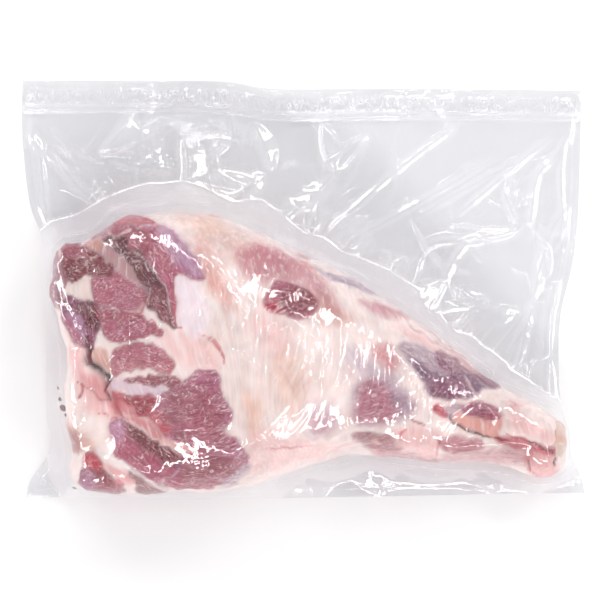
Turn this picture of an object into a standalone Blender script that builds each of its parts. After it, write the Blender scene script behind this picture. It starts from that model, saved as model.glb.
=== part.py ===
"""A raw leg of lamb sealed in a clear, flat bag, lying on its side: one closed solid of the outer shape.

The frame has its origin on the surface that the pack lies on, below the middle of the bag. +X runs from the
butt of the leg to its shank, +Y to the wide header seal, +Z up. The leg is an inflated outline, flattened
where it rests. Both films leave it at its widest level and sink to the surface as a thin, wavy margin.
"""

import math

import bmesh
import bpy
import numpy as np

MM = 0.001

# The bag's four edges seen from above, in millimetres. The thick meat draws both sides in between the seals.
TOP_EDGE = [(-198, 147), (-140, 147), (-60, 146.5), (-18, 141), (60, 141.5), (195.5, 140)]
BOTTOM_EDGE = [(-196, -147), (-150, -146.5), (-60, -147), (60, -145.5), (150, -143.5), (198, -143)]
LEFT_EDGE = [(-196, -147), (-192, -134), (-180, -116), (-178, -100), (-181, -84), (-182, 22), (-193, 62),
             (-198, 110), (-198, 147)]
RIGHT_EDGE = [(198, -143), (194, -130), (185, -114), (184, -100), (180.5, -74), (180.5, -22), (190, 22),
              (194, 70), (195.5, 140)]

# The leg's outline seen from above, clockwise from the top corner of the butt, in millimetres.
LEG_OUTLINE = [
    (-170, 31), (-151, 35), (-131, 49), (-112, 53), (-88, 56), (-62, 51), (-30, 40), (0, 25),
    (35, 8), (75, -19), (118, -52), (138, -69), (160, -79), (177, -90), (184, -108), (181, -123),
    (171, -131), (157, -130), (140, -124), (100, -121), (60, -117), (37, -115), (15, -120),
    (-15, -130), (-45, -140), (-80, -142), (-110, -143), (-140, -141), (-159, -137), (-163, -126),
    (-162, -112), (-167, -90), (-166, -65), (-166, -42), (-172, -20), (-177, -2), (-175, 18),
]

# Heights and widths along the leg, as (x, size) in millimetres.
CROWN = [(-180, 76), (-120, 96), (-60, 99), (0, 91), (60, 71), (110, 54), (150, 46), (190, 43)]
WIDEST_LEVEL = [(-180, 36), (-60, 38), (40, 30), (110, 23), (190, 20)]
HALF_WIDTH = [(-180, 62), (-120, 88), (-60, 84), (0, 66), (60, 46), (110, 32), (190, 26)]
FLATTENED = 9.0  # how far the underside would reach below the surface if the meat didn't give
ROUNDNESS = 2.3  # 2 is an ellipse, more is fuller

# What stands out of the plain form or sinks into it: (x, y, reach along X, reach along Y, height).
SWELLINGS = [
    (88, -58, 30, 13, 5.0),  # calf
    (76, -106, 22, 10, 4.0),  # knee
    (158, -94, 17, 11, 4.5),  # heel
    (167, -120, 9, 8, 4.0),  # ankle
    (-30, -105, 42, 20, 3.0),  # lower thigh
    (118, -93, 26, 6, -3.5),  # between calf and shin
    (146, -110, 12, 5, -4.0),  # between heel and ankle
    (30, -70, 26, 18, -3.0),  # between thigh and knee
]

# The slanting cut across the butt falls from its crest towards -X.
CUT_CREST_X = -62.0
CUT_CREST_HEIGHT = 101.0
CUT_SLOPE = 0.47
CUT_EDGE_SOFTNESS = 9.0
# The muscles of the cut face stand out between its fat seams: (x, y, reach along X, reach along Y, height).
CUT_MUSCLES = [
    (-100, 26, 22, 26, 3.0), (-152, 20, 14, 9, 2.5), (-128, 0, 15, 11, 3.0), (-122, -27, 17, 8, 2.5),
    (-158, -24, 9, 13, 2.5), (-112, -47, 20, 8, 2.5), (-78, -86, 24, 24, 3.5), (-118, -110, 16, 16, 3.0),
    (-68, -128, 26, 9, 3.0), (-146, -128, 13, 12, 4.0),
]

FILM_THICKNESS = 2.4  # both films with the air between them
FILM_SINKS_OVER = 30.0  # the distance in which the margin comes down to the surface
FILM_FILLET = 7.0  # how softly the film leaves the meat
WAVE_HEIGHT = 2.2
HEADER_WIDTH = 21.0
HEADER_THICKNESS = 3.4

CELL = 3.0  # spacing of the points before the mesh is thinned out
MOST_TRIANGLES = 9000
SNAP = 0.25  # points this near the surface lie on it


def through(points, samples, closed=False):
    """A smooth Catmull-Rom curve through the points."""
    knots = np.array(points, float)
    if closed:
        knots = np.vstack([knots[-1], knots, knots[:2]])
    else:
        knots = np.vstack([2 * knots[0] - knots[1], knots, 2 * knots[-1] - knots[-2]])
    t = np.linspace(0, 1, samples, endpoint=False)[:, None]
    runs = []
    for a, b, c, d in zip(knots, knots[1:], knots[2:], knots[3:]):
        runs.append(0.5 * (2 * b + (c - a) * t + (2 * a - 5 * b + 4 * c - d) * t**2
                           + (3 * b - a - 3 * c + d) * t**3))
    curve = np.vstack(runs)
    return curve if closed else np.vstack([curve, knots[-2]])


def evenly(curve, count):
    """The curve as count points, evenly spaced along it."""
    along = np.concatenate([[0], np.cumsum(np.linalg.norm(np.diff(curve, axis=0), axis=1))])
    at = np.linspace(0, along[-1], count)
    return np.stack([np.interp(at, along, curve[:, k]) for k in range(2)], axis=1)


def profile(table, x):
    """A size that varies smoothly along X."""
    curve = through(table, 12)
    return np.interp(x, curve[:, 0], curve[:, 1])


def smooth_max(a, b, softness):
    """The larger of two heights, with the step between them rounded off."""
    share = np.clip(0.5 + 0.5 * (a - b) / softness, 0, 1)
    return b + (a - b) * share + softness * share * (1 - share)


def swell(table, x, y):
    """The summed height of soft, elliptical swellings."""
    total = np.zeros_like(x)
    for centre_x, centre_y, reach_x, reach_y, height in table:
        total += height * np.exp(-(((x - centre_x) / reach_x) ** 2) - ((y - centre_y) / reach_y) ** 2)
    return total


def nearest_on(points, outline):
    """Each point's distance to a closed outline, positive inside it, and the outline's nearest point."""
    start = outline
    edge = np.roll(outline, -1, axis=0) - start
    offset = points[:, None, :] - start
    share = np.clip((offset * edge).sum(2) / (edge**2).sum(1), 0, 1)
    foot = start + edge * share[..., None]
    distance = np.linalg.norm(points[:, None, :] - foot, axis=2)
    best = distance.argmin(1)
    rows = np.arange(len(points))
    end = start + edge
    crosses = (start[:, 1] > points[:, None, 1]) != (end[:, 1] > points[:, None, 1])
    run = np.where(edge[:, 1] == 0, 1, edge[:, 1])
    reach = start[:, 0] + (points[:, None, 1] - start[:, 1]) * edge[:, 0] / run
    inside = (crosses & (points[:, None, 0] < reach)).sum(1) % 2 == 1
    return np.where(inside, 1, -1) * distance[rows, best], foot[rows, best]


def bag_grid(columns, rows):
    """Points over the bag, spread between its four edges, column by column."""
    top, bottom = evenly(through(TOP_EDGE, 20), columns), evenly(through(BOTTOM_EDGE, 20), columns)
    left, right = evenly(through(LEFT_EDGE, 20), rows), evenly(through(RIGHT_EDGE, 20), rows)
    u = np.linspace(0, 1, columns)[:, None, None]
    v = np.linspace(0, 1, rows)[None, :, None]
    between_sides = (1 - u) * left[None] + u * right[None]
    between_ends = (1 - v) * bottom[:, None] + v * top[:, None]
    corners = ((1 - u) * (1 - v) * left[0] + u * (1 - v) * right[0]
               + (1 - u) * v * left[-1] + u * v * right[-1])
    return (between_sides + between_ends - corners).reshape(-1, 2)


def meat_surfaces(x, y, inside):
    """The meat's upper and lower heights, from the distance inside its outline."""
    level = profile(WIDEST_LEVEL, x)
    depth = np.clip(inside / profile(HALF_WIDTH, x), 0, 1)
    bulge = (1 - (1 - depth) ** ROUNDNESS) ** (1 / ROUNDNESS)
    crown = profile(CROWN, x) + swell(SWELLINGS, x, y)
    cut = CUT_CREST_HEIGHT - CUT_SLOPE * (CUT_CREST_X - x) + swell(CUT_MUSCLES, x, y)
    upper = -smooth_max(-(level + (crown - level) * bulge), -cut, CUT_EDGE_SOFTNESS)
    lower = np.maximum(level - (level + FLATTENED) * bulge, 0)
    return upper, lower


def film_level(x, y, outside):
    """The height at which the two films lie together, beside the meat and out to the seals."""
    sunk = np.exp(-((np.maximum(outside, 0) / FILM_SINKS_OVER) ** 1.6))
    folds = (np.sin(x / 17 + y / 31) + np.sin(y / 13 - x / 41 + 1.3) + np.sin(x / 29 + 2.1)) / 3
    spread = np.clip(outside / 30, 0, 1)
    lowest = FILM_THICKNESS / 2
    return lowest + (profile(WIDEST_LEVEL, x) - lowest) * sunk + WAVE_HEIGHT * spread * (1 + folds) / 2


def pack_surfaces(x, y, inside):
    """The pack's upper and lower heights."""
    upper, lower = meat_surfaces(x, y, inside)
    film = film_level(x, y, -inside)
    top_edge = through(TOP_EDGE, 20)
    header = y > np.interp(x, top_edge[:, 0], top_edge[:, 1]) - HEADER_WIDTH
    half = np.where(header, HEADER_THICKNESS, FILM_THICKNESS) / 2
    above = np.where(inside > 0, smooth_max(upper, film + half, FILM_FILLET), film + half)
    below = np.where(inside > 0, -smooth_max(-lower, half - film, FILM_FILLET), film - half)
    below[below < SNAP] = 0
    return above, below


def pack_mesh():
    """The closed mesh of the pack: an upper and a lower skin, joined by a rim."""
    columns = round((TOP_EDGE[-1][0] - TOP_EDGE[0][0]) / CELL) + 1
    rows = round((LEFT_EDGE[-1][1] - LEFT_EDGE[0][1]) / CELL) + 1
    plan = bag_grid(columns, rows)
    inside, nearest = nearest_on(plan, evenly(through(LEG_OUTLINE, 8, closed=True), 300))
    at_outline = abs(inside) < CELL / 2
    plan[at_outline] = nearest[at_outline]
    inside[at_outline] = 0
    mesh = bmesh.new()
    skins = []
    for height in pack_surfaces(plan[:, 0], plan[:, 1], inside):
        points = np.column_stack([plan, height]) * MM
        skins.append(np.array([mesh.verts.new(p) for p in points]).reshape(columns, rows))
    upper, lower = skins
    for i in range(columns - 1):
        for j in range(rows - 1):
            mesh.faces.new((upper[i, j], upper[i + 1, j], upper[i + 1, j + 1], upper[i, j + 1]))
            mesh.faces.new((lower[i, j], lower[i, j + 1], lower[i + 1, j + 1], lower[i + 1, j]))
    rim = ([(i, 0) for i in range(columns)] + [(columns - 1, j) for j in range(1, rows)]
           + [(i, rows - 1) for i in range(columns - 2, -1, -1)] + [(0, j) for j in range(rows - 2, 0, -1)])
    for here, there in zip(rim, rim[1:] + rim[:1]):
        mesh.faces.new((lower[here], lower[there], upper[there], upper[here]))
    data = bpy.data.meshes.new("pack_fine")
    mesh.to_mesh(data)
    mesh.free()
    return data


def film_material():
    """Clear film over pink meat."""
    material = bpy.data.materials.new("clear_film_over_meat")
    material.use_nodes = True
    shader = material.node_tree.nodes["Principled BSDF"]
    shader.inputs["Base Color"].default_value = (0.62, 0.33, 0.30, 1)
    shader.inputs["Roughness"].default_value = 0.12
    shader.inputs["Metallic"].default_value = 0.0
    return material


def build_pack():
    """The sealed bag with the leg in it, thinned out to the triangles that its shape needs."""
    fine = bpy.data.objects.new("pack_fine", pack_mesh())
    bpy.context.scene.collection.objects.link(fine)
    thin = fine.modifiers.new("thin_out", "DECIMATE")
    thin.ratio = MOST_TRIANGLES / (2 * len(fine.data.polygons))
    graph = bpy.context.evaluated_depsgraph_get()
    data = bpy.data.meshes.new_from_object(fine.evaluated_get(graph))
    bpy.data.objects.remove(fine)
    data.name = "sealed_bag"
    for vertex in data.vertices:
        if vertex.co.z < SNAP * MM:
            vertex.co.z = 0.0
    data.materials.append(film_material())
    data.shade_smooth()
    data.set_sharp_from_angle(angle=math.radians(50))
    pack = bpy.data.objects.new("sealed_bag", data)
    bpy.context.scene.collection.objects.link(pack)


for old in list(bpy.data.objects):
    bpy.data.objects.remove(old)
build_pack()
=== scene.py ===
import math

import bpy
import numpy as np
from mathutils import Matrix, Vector
from mathutils.bvhtree import BVHTree
from mathutils.geometry import delaunay_2d_cdt


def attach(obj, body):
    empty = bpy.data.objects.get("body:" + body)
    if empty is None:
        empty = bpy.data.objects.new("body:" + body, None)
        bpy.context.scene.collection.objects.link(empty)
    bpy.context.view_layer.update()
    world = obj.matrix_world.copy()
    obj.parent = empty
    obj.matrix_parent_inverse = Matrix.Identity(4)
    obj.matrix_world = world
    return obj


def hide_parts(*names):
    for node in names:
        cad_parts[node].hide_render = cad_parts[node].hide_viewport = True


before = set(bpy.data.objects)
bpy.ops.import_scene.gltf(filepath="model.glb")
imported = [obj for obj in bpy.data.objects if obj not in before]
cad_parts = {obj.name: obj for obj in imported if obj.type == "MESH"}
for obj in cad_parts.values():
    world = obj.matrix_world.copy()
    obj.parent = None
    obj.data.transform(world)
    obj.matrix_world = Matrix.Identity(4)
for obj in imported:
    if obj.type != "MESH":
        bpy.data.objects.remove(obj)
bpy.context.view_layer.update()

# Everything below is in millimetres, in the frame's own axes, and MM turns it into metres.
MM = 0.001

# ---------------------------------------------------------------- sizes of the leg

# The leg's outline seen from above, clockwise from the top corner of the butt.
LEG_OUTLINE = [
    (-170, 31), (-151, 35), (-131, 49), (-112, 53), (-88, 56), (-62, 51), (-30, 40), (0, 25),
    (35, 8), (75, -19), (118, -52), (138, -69), (160, -79), (177, -90), (184, -108), (181, -123),
    (171, -131), (157, -130), (140, -124), (100, -121), (60, -117), (37, -115), (15, -120),
    (-15, -130), (-45, -140), (-80, -142), (-110, -143), (-140, -141), (-159, -137), (-163, -126),
    (-162, -112), (-167, -90), (-166, -65), (-166, -42), (-172, -20), (-177, -2), (-175, 18),
]
OUTLINE_CORNERS = 320  # corners of that outline where distances to it are measured
# Along X: the height of the top, the height where the leg is widest, and half its width.
CROWN = [(-180, 76), (-120, 96), (-60, 99), (0, 91), (60, 71), (110, 54), (150, 46), (190, 43)]
WIDEST_LEVEL = [(-180, 36), (-60, 38), (40, 30), (110, 23), (190, 20)]
HALF_WIDTH = [(-180, 62), (-120, 88), (-60, 84), (0, 66), (60, 46), (110, 32), (190, 26)]
FLATTENED = 9.0  # how much of the round underside its own weight has pressed flat
ROUNDNESS = 2.3  # exponent of the cross-section: 2 is an ellipse
# Each swelling or hollow: its centre's X and Y, its reach along X and Y, its height.
SWELLINGS = [
    (88, -58, 30, 13, 5.0), (76, -106, 22, 10, 4.0), (158, -94, 17, 11, 4.5), (167, -120, 9, 8, 4.0),
    (-30, -105, 42, 20, 3.0), (118, -93, 26, 6, -3.5), (146, -110, 12, 5, -4.0), (30, -70, 26, 18, -3.0),
]
# The cut face of the butt is a plane that slopes down from a crest towards -X.
CUT_CREST_X = -62.0
CUT_CREST_HEIGHT = 101.0
CUT_SLOPE = 0.47
CUT_EDGE_SOFTNESS = 9.0
SKIN_GAP = 1.4  # how far the meat stays inside the solid that it stands for

# ---------------------------------------------------------------- colours, as they look on a screen

COLOURS = {
    "fat": (243, 225, 220), "fat_peach": (240, 196, 176), "fat_pink": (235, 184, 182),
    "fat_tan": (212, 156, 142), "cream": (240, 222, 216), "seam": (186, 144, 146),
    "dark": (108, 40, 48), "oxblood": (130, 40, 52), "plum": (142, 78, 108), "brown": (164, 88, 100),
    "mauve": (184, 96, 118), "pink": (186, 112, 130), "red": (200, 70, 86), "rose": (200, 128, 138),
    # lilac is used both as a tint of the tissue and as painted sheen of the film.
    "blood": (160, 20, 40), "clot": (70, 12, 26), "lilac": (206, 170, 200), "veil": (192, 170, 184),
    # The first colour on the next line is painted glare: the film's white haze and glints over the meat.
    "painted_glare": (243, 226, 231), "purple": (140, 104, 132), "amber": (226, 166, 156),
    "white": (252, 244, 242), "dusky": (186, 118, 142),
}

# ---------------------------------------------------------------- what the surface shows, seen from above

# Each patch: colour, softness of its edge, opacity, height, fibre direction in degrees, outline.
# A patch with a fibre direction is bare muscle; None is fat or a film of tissue. A few patches are painted
# glare or sheen of the film on the meat instead.
PATCHES = [
    # fat over the thigh, and the muscle that shows through it
    ("fat_tan", 18, 0.55, 0, None, [(-71, 47), (-58, 45), (-43, 39), (-30, 32), (-19, 23), (-35, 13),
        (-47, 20), (-62, 33)]),
    ("rose", 12, 0.85, 0, None, [(-47, 25), (-34, 31), (-22, 27), (-10, 24), (4, 18), (13, 9), (20, -3),
        (27, -18), (15, -16), (8, -5), (-3, 2), (-17, 6), (-33, 6), (-42, 13)]),
    ("rose", 7, 0.8, 0.5, None, [(-34, 30), (-22, 28), (-10, 24), (1, 19), (5, 14), (-5, 14), (-17, 15),
        (-28, 21)]),
    ("fat_tan", 8, 0.45, 0, None, [(8, -3), (18, -3), (26, -14), (35, -16), (33, -23), (22, -27), (11, -23),
        (6, -18)]),
    ("amber", 12, 0.85, 0, None, [(-74, 29), (-67, 21), (-60, 13), (-53, 2), (-47, -13), (-52, -13),
        (-61, -4), (-69, 0), (-76, 13)]),
    ("amber", 10, 0.6, 0, None, [(-75, 40), (-67, 36), (-61, 25), (-55, 13), (-61, 14), (-69, 23),
        (-75, 29)]),
    ("fat_peach", 14, 0.7, 0, None, [(-89, 55), (-72, 53), (-55, 47), (-62, 39), (-78, 43), (-87, 48)]),
    ("fat_peach", 12, 0.75, 0, None, [(-46, -71), (-31, -77), (-31, -98), (-40, -107), (-50, -96),
        (-50, -80)]),
    ("fat_peach", 16, 0.5, 0, None, [(-19, -43), (-6, -44), (1, -62), (-5, -89), (-15, -80), (-22, -61)]),
    ("fat_pink", 16, 0.5, 0, None, [(-28, -16), (-15, -23), (-8, -36), (-19, -44), (-33, -34), (-37, -21)]),
    ("veil", 3.5, 0.95, 0.3, None, [(7, 18), (13, 14), (24, 10), (35, 7), (52, -3), (43, -1), (33, 3),
        (21, 6), (13, 11)]),
    ("purple", 3, 0.5, 0, None, [(18, 10), (30, 6), (39, 3), (50, -2), (35, 2), (24, 6)]),
    ("rose", 6, 0.8, 0, None, [(39, -6), (53, -9), (67, -15), (74, -20), (68, -20), (56, -19), (45, -13)]),
    ("fat_pink", 12, 0.55, 0, None, [(-63, -103), (-30, -96), (12, -107), (34, -107), (19, -116),
        (-23, -126), (-51, -130)]),
    # thin fat with muscle showing through, round the knee
    ("veil", 16, 0.75, 0, None, [(29, -41), (42, -44), (53, -51), (64, -58), (66, -68), (58, -65),
        (44, -62), (32, -54)]),
    ("veil", 12, 0.8, 0, 20, [(35, -74), (39, -65), (50, -62), (61, -64), (73, -74), (77, -83), (70, -89),
        (58, -92), (45, -93), (36, -89)]),
    ("mauve", 10, 0.75, 0.8, 20, [(37, -82), (42, -68), (50, -65), (58, -70), (63, -79), (66, -87),
        (56, -92), (44, -92), (37, -89)]),
    ("purple", 8, 0.5, 0, 20, [(60, -74), (70, -74), (75, -82), (70, -86), (63, -83)]),
    ("veil", 14, 0.65, 0, None, [(3, -82), (16, -79), (24, -86), (23, -96), (14, -101), (3, -100)]),
    ("rose", 10, 0.45, 0, None, [(5, -89), (14, -85), (21, -91), (16, -99), (7, -99)]),
    ("brown", 3.5, 0.75, 0.4, 20, [(34, -103), (41, -100), (50, -101), (60, -103), (63, -108), (68, -111),
        (61, -112), (52, -110), (42, -108)]),
    ("fat_pink", 3, 0.8, 0.2, None, [(48, -104), (52, -104), (54, -108), (50, -108)]),
    ("rose", 5, 0.7, 0.2, -5, [(46, -109), (61, -112), (77, -115), (93, -118), (90, -121), (74, -119),
        (58, -117)]),
    ("red", 9, 0.6, 0.4, 70, [(50, -41), (56, -39), (61, -43), (64, -50), (61, -56), (56, -50),
        (51, -47)]),
    ("fat_pink", 6, 0.75, 0.95, None, [(61, -100), (70, -97), (81, -95), (93, -98), (96, -106), (92, -115),
        (84, -117), (74, -112), (65, -109)]),
    # shank: calf, shin, heel and ankle
    ("fat_pink", 6, 0.8, 0.3, None, [(63, -25), (77, -29), (93, -40), (107, -48), (119, -56), (128, -62),
        (111, -55), (93, -43), (77, -35)]),
    ("veil", 5, 0.9, 0.3, -28, [(66, -40), (77, -38), (88, -42), (100, -51), (102, -58), (90, -58),
        (81, -55), (72, -50)]),
    ("purple", 4, 1.0, 0.9, -28, [(74, -48), (86, -55), (97, -60), (111, -58), (123, -62), (135, -68),
        (125, -69), (118, -74), (114, -76), (100, -76), (90, -74), (85, -65), (78, -56)]),
    ("plum", 5, 0.8, 0.3, -28, [(88, -65), (97, -62), (110, -64), (117, -70), (114, -75), (100, -76),
        (92, -74)]),
    ("plum", 3, 0.85, 0.5, -32, [(93, -43), (104, -49), (116, -57), (128, -62), (137, -69), (129, -68),
        (116, -61), (102, -58), (97, -53)]),
    ("cream", 3, 0.8, 0.6, None, [(90, -76), (104, -77), (118, -76), (132, -72), (142, -74), (128, -78),
        (116, -80), (100, -82), (92, -80)]),
    ("red", 2.5, 0.95, 0.4, -10, [(90, -83), (95, -81), (100, -85), (99, -89), (93, -87)]),
    ("veil", 3, 0.8, 0.2, -10, [(99, -83), (110, -81), (116, -81), (114, -86), (104, -90)]),
    ("mauve", 2.5, 1.0, 0.9, -5, [(111, -82), (121, -80), (131, -81), (138, -85), (139, -90), (132, -91),
        (123, -89), (115, -87)]),
    ("plum", 4, 0.6, 0, -5, [(113, -83), (121, -81), (129, -83), (125, -87), (116, -86)]),
    ("amber", 2.5, 0.95, 1.0, None, [(104, -89), (113, -87), (122, -89), (132, -92), (139, -91), (137, -99),
        (135, -104), (125, -102), (114, -97), (106, -93)]),
    ("fat", 5, 0.95, 1.0, None, [(139, -86), (140, -77), (151, -79), (165, -84), (178, -90), (179, -100),
        (177, -108), (166, -105), (151, -100), (142, -97)]),
    ("fat_pink", 6, 0.7, 0, None, [(143, -78), (155, -80), (151, -85), (160, -93), (174, -100), (174, -107),
        (160, -103), (146, -96), (142, -86)]),
    ("red", 4, 0.8, 0.2, -12, [(135, -105), (145, -104), (160, -107), (176, -112), (176, -116), (160, -112),
        (145, -110)]),
    ("rose", 4, 0.85, 0.4, -5, [(95, -106), (103, -103), (114, -104), (124, -108), (121, -112), (109, -113),
        (99, -111)]),
    ("rose", 7, 0.6, 0, -5, [(93, -118), (116, -114), (155, -113), (158, -122), (139, -122), (116, -121)]),
    ("red", 5, 0.55, 0, None, [(154, -115), (162, -111), (174, -114), (178, -123), (174, -132), (167, -133),
        (157, -128)]),
    ("fat_pink", 6, 0.8, 0.95, None, [(158, -119), (166, -115), (173, -118), (176, -125), (173, -131),
        (164, -131), (158, -127)]),
    # pale ground of the cut face
    ("fat", 7, 1.0, 0, None, [(-171, 33), (-154, 35), (-131, 49), (-111, 51), (-86, 36), (-69, 9),
        (-58, -27), (-45, -62), (-38, -107), (-47, -139), (-104, -144), (-158, -140), (-179, -98),
        (-176, 0)]),
    ("fat_pink", 12, 0.5, 0, None, [(-99, -32), (-74, -28), (-58, -48), (-61, -57), (-77, -56),
        (-92, -46)]),
    ("fat_tan", 4, 0.85, 0, None, [(-146, -43), (-138, -41), (-136, -49), (-134, -59), (-140, -55),
        (-146, -50)]),
    ("fat_pink", 8, 0.8, 0, None, [(-165, -41), (-155, -38), (-152, -46), (-152, -57), (-158, -62),
        (-163, -53)]),
    ("fat_pink", 8, 0.9, 0, None, [(-158, -60), (-147, -59), (-138, -67), (-127, -82), (-127, -90),
        (-136, -89), (-149, -85), (-157, -74)]),
    ("red", 8, 0.4, 0, None, [(-154, -59), (-143, -59), (-136, -67), (-127, -80), (-127, -89), (-134, -82),
        (-145, -73), (-153, -66)]),
    ("fat_tan", 7, 0.7, 0, None, [(-167, -92), (-158, -96), (-147, -107), (-146, -114), (-154, -113),
        (-162, -112), (-164, -103)]),
    ("brown", 4, 0.6, 0, -70, [(-164, -98), (-161, -101), (-156, -107), (-158, -114), (-162, -111),
        (-163, -105)]),
    # Painted glare: a pale patch for the film's white haze and glints along the right rim of the cut face.
    ("painted_glare", 5, 0.95, 0, None, [(-89, 10), (-81, 9), (-72, 2), (-66, -11), (-66, -23), (-74, -35),
        (-84, -27), (-88, -25), (-90, -11)]),
    # the muscles of the cut face
    ("brown", 1.6, 0.95, 0.8, -75, [(-176, 25), (-174, 27), (-170, 18), (-166, 6), (-170, 0), (-168, -10),
        (-172, -13), (-176, -8), (-177, 1)]),
    ("veil", 4, 0.6, 0, -75, [(-176, 24), (-173, 25), (-169, 6), (-170, -9), (-173, -11), (-175, 6)]),
    ("mauve", 1.6, 1.0, 2.2, -52, [(-131, 47), (-124, 52), (-117, 53), (-109, 50), (-101, 45), (-92, 40),
        (-84, 32), (-78, 24), (-74, 16), (-70, 7), (-81, 10), (-88, 10), (-91, 4), (-90, -9), (-90, -24),
        (-91, -21), (-94, -9), (-99, 6), (-105, 15), (-111, 22), (-118, 26), (-127, 28), (-136, 33),
        (-135, 41)]),
    ("brown", 4, 0.6, 0, -30, [(-134, 40), (-122, 45), (-111, 42), (-108, 33), (-109, 25), (-118, 27),
        (-127, 28), (-136, 33)]),
    ("red", 4, 0.7, 0, -20, [(-130, 48), (-123, 52), (-115, 53), (-107, 49), (-101, 44), (-111, 45),
        (-120, 46), (-127, 45)]),
    # Painted sheen: a lilac wash for the film's sheen along the right side of the muscle above.
    ("lilac", 9, 0.95, 0.2, -52, [(-99, 43), (-90, 38), (-82, 30), (-76, 21), (-71, 9), (-78, 11),
        (-85, 16), (-92, 25), (-97, 34)]),
    ("dark", 1.6, 1.0, 0.8, -40, [(-140, 34), (-134, 37), (-123, 35), (-122, 31), (-123, 24), (-129, 27),
        (-135, 31)]),
    ("lilac", 3, 0.8, 0.2, -30, [(-155, 34), (-145, 39), (-134, 46), (-130, 47), (-133, 42), (-138, 37),
        (-146, 35)]),
    ("brown", 3, 0.7, 0, -30, [(-149, 36), (-142, 39), (-134, 43), (-134, 39), (-140, 36), (-146, 34)]),
    ("dark", 1.4, 1.0, 1.6, -58, [(-123, 23), (-117, 27), (-110, 22), (-105, 14), (-100, 6), (-95, -7),
        (-92, -18), (-90, -26), (-99, -20), (-104, -15), (-108, -11), (-107, -2), (-112, 2), (-117, 9),
        (-119, 15)]),
    ("brown", 5, 0.5, 0, -58, [(-107, -2), (-99, 0), (-94, -12), (-92, -23), (-99, -19), (-106, -12)]),
    ("seam", 1.8, 1.0, 0.3, None, [(-153, 31), (-142, 35), (-137, 32), (-130, 27), (-123, 20), (-118, 12),
        (-113, 3), (-108, -2), (-109, -6), (-115, 1), (-122, 7), (-129, 13), (-134, 18), (-142, 23),
        (-149, 27)]),
    ("fat_tan", 3, 0.7, 0, None, [(-151, 31), (-142, 35), (-140, 31), (-143, 27), (-149, 28)]),
    ("oxblood", 1.6, 1.0, 1.8, -20, [(-170, 29), (-166, 32), (-158, 32), (-152, 28), (-146, 25), (-140, 22),
        (-138, 18), (-133, 17), (-132, 12), (-134, 7), (-142, 5), (-147, 10), (-150, 11), (-155, 7),
        (-163, 6), (-166, 9), (-168, 16), (-169, 24)]),
    ("mauve", 6, 0.6, 0, -20, [(-170, 29), (-165, 32), (-158, 32), (-151, 27), (-154, 23), (-163, 24),
        (-168, 23)]),
    ("cream", 1.4, 1.0, 0.7, None, [(-165, 5), (-158, 6), (-151, 11), (-149, 7), (-149, 2), (-147, -5),
        (-144, -10), (-147, -11), (-153, -8), (-159, -3), (-163, 1)]),
    ("pink", 1.6, 1.0, 2.0, 10, [(-146, 9), (-142, 5), (-134, 7), (-131, 12), (-126, 9), (-118, 2),
        (-113, -1), (-109, -5), (-110, -9), (-114, -14), (-122, -15), (-129, -14), (-136, -13), (-142, -11),
        (-146, -7), (-147, 0)]),
    ("mauve", 7, 0.7, 0, 10, [(-146, 8), (-134, 6), (-122, 2), (-127, -5), (-136, -11), (-144, -7)]),
    ("mauve", 1.4, 1.0, 1.6, 5, [(-141, -15), (-134, -13), (-127, -16), (-118, -18), (-113, -19),
        (-108, -23), (-102, -27), (-99, -31), (-108, -32), (-117, -34), (-131, -36), (-137, -34),
        (-139, -30), (-142, -23)]),
    ("brown", 6, 0.6, 0, 5, [(-140, -16), (-131, -15), (-122, -19), (-127, -23), (-138, -21)]),
    ("rose", 1.8, 1.0, 2.0, -5, [(-134, -51), (-131, -42), (-124, -39), (-111, -38), (-101, -40),
        (-95, -45), (-90, -52), (-92, -57), (-99, -57), (-106, -55), (-111, -56), (-118, -55), (-126, -56),
        (-131, -59), (-133, -59)]),
    ("mauve", 6, 0.7, 0, -5, [(-132, -45), (-124, -41), (-111, -40), (-101, -42), (-95, -49), (-104, -51),
        (-117, -49), (-127, -51)]),
    ("plum", 1.8, 1.0, 2.2, -62, [(-168, -11), (-164, -6), (-156, -9), (-146, -11), (-142, -18),
        (-144, -27), (-145, -36), (-146, -42), (-151, -40), (-160, -36), (-164, -30), (-167, -22)]),
    ("dark", 4, 0.9, 0, -62, [(-155, -10), (-145, -12), (-143, -19), (-144, -28), (-149, -25),
        (-153, -18)]),
    ("lilac", 4, 0.55, 0, -66, [(-163, -18), (-158, -18), (-152, -27), (-151, -38), (-156, -36),
        (-161, -28)]),
    ("mauve", 5, 0.7, 0, -62, [(-166, -19), (-161, -23), (-156, -32), (-153, -39), (-160, -36),
        (-164, -30)]),
    ("brown", 1.4, 1.0, 0.6, 0, [(-125, -64), (-117, -62), (-106, -61), (-94, -60), (-87, -63), (-86, -67),
        (-93, -67), (-99, -66), (-108, -66), (-117, -65)]),
    ("dusky", 1.6, 1.0, 2.6, 12, [(-79, -62), (-75, -57), (-67, -57), (-60, -60), (-58, -69), (-54, -78),
        (-50, -85), (-51, -91), (-55, -96), (-55, -100), (-47, -104), (-42, -111), (-37, -117), (-45, -119),
        (-52, -117), (-59, -116), (-70, -114), (-79, -111), (-88, -107), (-95, -102), (-101, -97),
        (-104, -90), (-105, -84), (-101, -76), (-94, -71), (-86, -66)]),
    ("brown", 12, 0.75, 0, 12, [(-93, -73), (-81, -66), (-69, -67), (-59, -78), (-56, -92), (-56, -109),
        (-68, -112), (-84, -105), (-97, -92)]),
    ("red", 5, 0.5, 0, 12, [(-104, -85), (-97, -84), (-92, -92), (-93, -100), (-100, -96)]),
    ("red", 1.8, 1.0, 1.2, -25, [(-131, -75), (-124, -74), (-111, -74), (-104, -76), (-105, -80),
        (-107, -85), (-110, -88), (-115, -87), (-120, -81), (-126, -77)]),
    ("oxblood", 4, 0.5, 0, -25, [(-123, -75), (-111, -75), (-107, -76), (-108, -84), (-113, -86),
        (-119, -81)]),
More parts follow.
